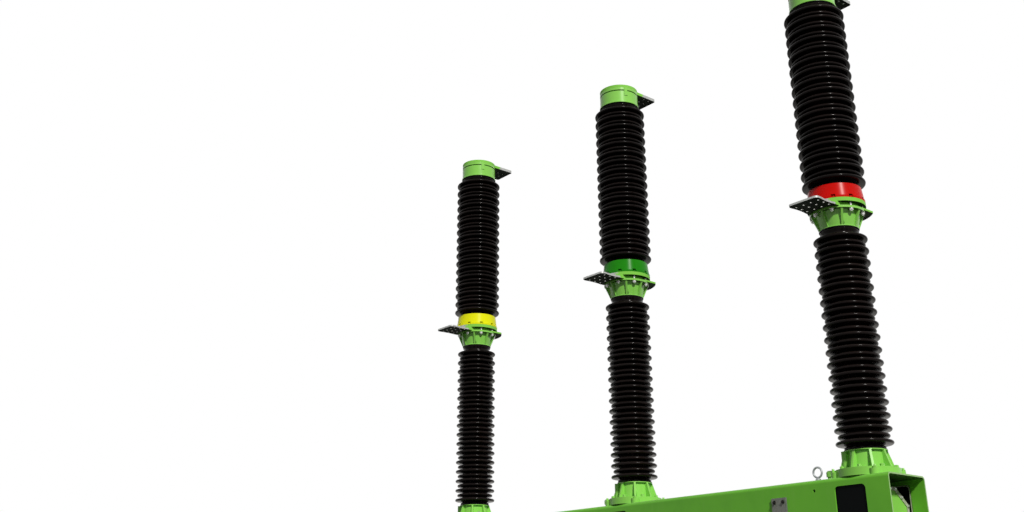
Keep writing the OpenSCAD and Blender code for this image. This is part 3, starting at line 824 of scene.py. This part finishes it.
def dress_supports(beam_top, finishes):
    """Bolts through the cheeks' slots and anchor nuts on the foot plates."""
    cheek_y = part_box("support_heads")[1].y
    wall_inside = cheek_y - CHEEK_T - BEAM_WALL_T
    support_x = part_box("support_feet")[1].x - FOOT_HALF
    slot_z = beam_top - SLOT_DROP

    def cheek_bolts(mesh):
        for end in (-1, 1):
            for side in (-1, 1):
                for dx in (-SLOT_HALF_PITCH, SLOT_HALF_PITCH):
                    x = end * support_x + dx
                    bolt(mesh, facing_y(x, side * cheek_y, slot_z, side), M10, washer=False)
                    bolt(mesh, facing_y(x, side * wall_inside, slot_z, -side), M10, stub=0.9)

    def anchor_nuts(mesh):
        for end in (-1, 1):
            for dx in (-ANCHOR_AT, ANCHOR_AT):
                for dy in (-ANCHOR_AT, ANCHOR_AT):
                    bolt(mesh, upright(end * support_x + dx, dy, FOOT_T), M24, stub=1.1)

    # The bolts' black is black oxide, and also painted shade standing in for the dark slots
    piece("cheek_bolts", cheek_bolts, finishes["oxide"])
    piece("anchor_nuts", anchor_nuts, finishes["zinc"])


# Drive cabinet: door seal, a little wider than the door

DOOR_SEAL_LAP = 0.003
DOOR_SEAL_T = 0.004
DOOR_SEAL_R = 0.011

# Drive cabinet: hinges, at shares of the door's height, with knuckles from and to these heights

HINGE_SHARES = (0.14, 0.50, 0.86)
HINGE_OUT = 0.008
HINGE_IN = 0.010
KNUCKLE_R = 0.0075
KNUCKLE_END_R = 0.0060
KNUCKLE_CHAMFER = 0.002
KNUCKLE_SIDES = 20
KNUCKLES = ((-0.040, -0.001), (0.001, 0.040))
LEAF_OUT = 0.0035
LEAF_T = 0.003
LEAF = {"width": 0.016, "height": 0.064, "radius": 0.003}

# Drive cabinet: handle, with round parts as (radius, height) pairs

HANDLE_INSET = 0.055
PLATE_T = 0.006
PLATE = {"width": 0.034, "height": 0.150, "radius": 0.010}
LEVER_DROP = 0.010
LEVER_BACK = 0.016
LEVER_FRONT = 0.027
LEVER = {"width": 0.020, "height": 0.120, "radius": 0.009}
PIVOT_UP = 0.035
PIVOT_SIDES = 28
PIVOT = ((0.015, 0.0), (0.015, 0.020), (0.013, 0.024))
LOCK_UP = 0.062
LOCK_SIDES = 24
LOCK = ((0.009, 0.0), (0.009, 0.010), (0.007, 0.012))

# Drive cabinet: hanger bolts, from the hangers' outer sides and from their upper and lower ends

HANGER_BOLT_IN = 0.030
HANGER_BOLT_END = 0.025


def dress_cabinet(finishes):
    """Door seal, hinges, lever handle and hanger bolts."""
    low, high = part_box("cabinet_door")
    hanger_low, hanger_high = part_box("cabinet_hangers")
    front, back = low.y, high.y
    middle_z = (low.z + high.z) / 2

    def seal(mesh):
        width = high.x - low.x + 2 * DOOR_SEAL_LAP
        height = high.z - low.z + 2 * DOOR_SEAL_LAP
        outline = rounded_outline(width, height, DOOR_SEAL_R)
        slab(mesh, outline, 0.0, DOOR_SEAL_T, facing_y(0, back, middle_z, -1))

    def hinges(mesh):
        """Two knuckles and a leaf for each hinge, on the door's -X side."""
        leaf = rounded_outline(**LEAF)
        y = back - HINGE_IN
        for share in HINGE_SHARES:
            z = low.z + share * (high.z - low.z)
            for start, end in KNUCKLES:
                bottom, top = z + start, z + end
                barrel = ((KNUCKLE_END_R, bottom), (KNUCKLE_R, bottom + KNUCKLE_CHAMFER),
                          (KNUCKLE_R, top - KNUCKLE_CHAMFER), (KNUCKLE_END_R, top))
                lathe(mesh, barrel, KNUCKLE_SIDES, upright(low.x - HINGE_OUT, y, 0))
            slab(mesh, leaf, 0.0, LEAF_T, facing_x(low.x - LEAF_OUT, y, z, 1))

    def handle(mesh):
        """Back plate, pivot, lever and lock."""
        x = high.x - HANDLE_INSET
        slab(mesh, rounded_outline(**PLATE), 0.0, PLATE_T, facing_y(x, front, middle_z, -1))
        lathe(mesh, PIVOT, PIVOT_SIDES, facing_y(x, front, middle_z + PIVOT_UP, -1))
        lever_place = facing_y(x, front, middle_z - LEVER_DROP, -1)
        slab(mesh, rounded_outline(**LEVER), LEVER_BACK, LEVER_FRONT, lever_place)
        lathe(mesh, LOCK, LOCK_SIDES, facing_y(x, front, middle_z + LOCK_UP, -1))

    def hanger_bolts(mesh):
        for end in (-1, 1):
            for side in (-1, 1):
                x, y = end * (hanger_high.x - HANGER_BOLT_IN), side * hanger_high.y
                for z in (hanger_low.z + HANGER_BOLT_END, hanger_high.z - HANGER_BOLT_END):
                    bolt(mesh, facing_y(x, y, z, side), M12, stub=0.3)

    piece("door_seal", seal, finishes["seal"])
    piece("door_hinges", hinges, finishes["zinc"])
    piece("door_handle", handle, finishes["seal"])
    piece("hanger_bolts", hanger_bolts, finishes["zinc"])


# Studio

CAMERA_AT = (5.107, -5.113, 1.604)
CAMERA_YAW = 51.354
CAMERA_PITCH = 21.782
LENS_MM = 37.554
SENSOR_MM = 36.0
SHIFT_Y = -0.0522
VIEW_END = 200.0
AMBIENT = 0.20
SUN_AZIMUTH = -22.0
SUN_ELEVATION = 38.0
SUN_STRENGTH = 3.4
SUN_SOFTNESS = 6.0
SUN_COLOUR = (1.0, 0.97, 0.92)
FLOOR_HALF = 40.0


def set_camera():
    """Camera at the photograph's viewing angle, at eye height and looking up."""
    data = bpy.data.cameras.new("camera")
    data.sensor_fit = "HORIZONTAL"
    data.sensor_width = SENSOR_MM
    data.lens = LENS_MM
    data.shift_y = SHIFT_Y
    data.clip_end = VIEW_END
    camera = bpy.data.objects.new("camera", data)
    camera.location = CAMERA_AT
    camera.rotation_euler = (math.radians(90 + CAMERA_PITCH), 0, math.radians(CAMERA_YAW))
    bpy.context.scene.collection.objects.link(camera)
    bpy.context.scene.camera = camera


def add_sun():
    """Softened sun; its azimuth is counted from +X towards +Y."""
    data = bpy.data.lights.new("key", "SUN")
    data.energy = SUN_STRENGTH
    data.angle = math.radians(SUN_SOFTNESS)
    data.color = SUN_COLOUR
    sun = bpy.data.objects.new("key", data)
    azimuth, elevation = math.radians(SUN_AZIMUTH), math.radians(SUN_ELEVATION)
    level = math.cos(elevation)
    towards = Vector((math.cos(azimuth) * level, math.sin(azimuth) * level, math.sin(elevation)))
    sun.rotation_euler = towards.to_track_quat("Z", "Y").to_euler()
    bpy.context.scene.collection.objects.link(sun)


def set_world():
    """White all round where the camera sees it, and soft plain light on the object."""
    scene = bpy.context.scene
    scene.view_settings.view_transform = "Standard"
    world = bpy.data.worlds.new("studio")
    scene.world = world
    world.use_nodes = True
    tree = world.node_tree
    tree.nodes.clear()
    output = tree.nodes.new("ShaderNodeOutputWorld")
    background = tree.nodes.new("ShaderNodeBackground")
    background.inputs["Color"].default_value = (1, 1, 1, 1)
    level = tree.nodes.new("ShaderNodeMapRange")
    level.inputs["To Min"].default_value = AMBIENT
    level.inputs["To Max"].default_value = 1.0
    tree.links.new(seen_directly(tree), level.inputs["Value"])
    tree.links.new(level.outputs["Result"], background.inputs["Strength"])
    tree.links.new(background.outputs[0], output.inputs["Surface"])


def add_floor():
    """Wide flat floor under the breaker."""
    data = bpy.data.meshes.new("floor")
    quarters = ((-1, -1), (1, -1), (1, 1), (-1, 1))
    corners = [(sx * FLOOR_HALF, sy * FLOOR_HALF, 0) for sx, sy in quarters]
    data.from_pydata(corners, [], [(0, 1, 2, 3)])
    floor = bpy.data.objects.new("floor", data)
    bpy.context.scene.collection.objects.link(floor)
    data.materials.append(floor_finish("pale_floor"))


# Putting it together

def dress_breaker():
    """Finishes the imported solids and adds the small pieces."""
    finishes = make_finishes()
    beam_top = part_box("beam_top_plate")[1].z
    dress_solids(finishes)
    for colour in COLOURS:
        dress_pole(colour, finishes)
        dress_housing(colour, beam_top, finishes)
    for name, side in (("front", 1), ("back", -1)):
        dress_covers(name, side, finishes)
    dress_supports(beam_top, finishes)
    dress_cabinet(finishes)


set_camera()
set_world()
add_sun()
add_floor()
dress_breaker()
